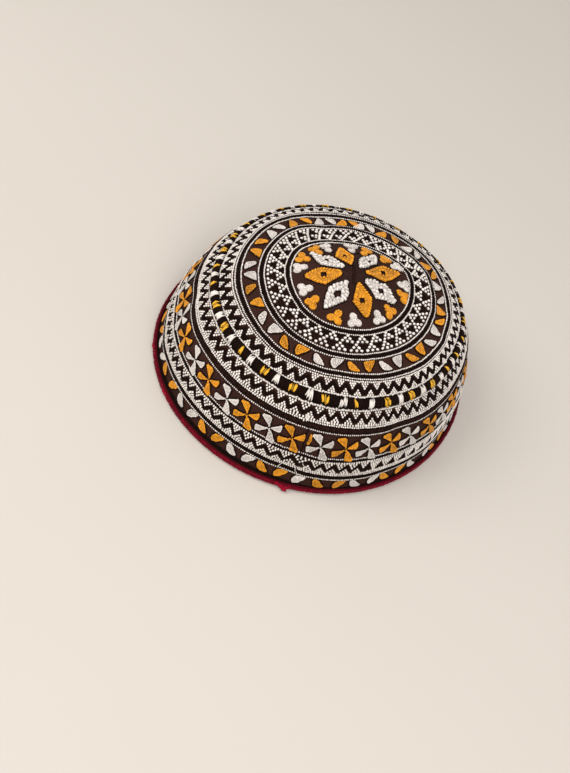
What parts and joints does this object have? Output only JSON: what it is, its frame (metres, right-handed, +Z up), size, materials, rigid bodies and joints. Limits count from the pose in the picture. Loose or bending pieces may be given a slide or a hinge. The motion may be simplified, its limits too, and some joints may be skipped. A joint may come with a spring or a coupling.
{
  "type": "skullcap",
  "caption": "Soft embroidered skullcap with a low domed crown, a slanting side band, a raised braid over the seam and a narrow bound rim.",
  "frame": {"origin": "on the floor below the middle of the cap, where its rim rests", "axes": "+Z up through the dome, +Y along the head's length, towards the back of the cap as pictured, +X across it"},
  "size_m": [0.1688, 0.1928, 0.067],
  "materials": {
    "ground_cloth": "matt dark brown cotton, closely covered with stitching",
    "seam_thread": "matt black thread with yellow and white blocks",
    "binding_braid": "slightly fuzzy crimson wool braid",
    "white_thread": "cream silk thread with a soft sheen",
    "orange_thread": "orange silk thread with a soft sheen",
    "black_thread": "near-black thread"
  },
  "bodies": {
    "root": {"crown": "ground_cloth", "side_band": "ground_cloth", "seam_braid": "seam_thread", "rim_binding": "binding_braid"}
  },
  "joints": []
}
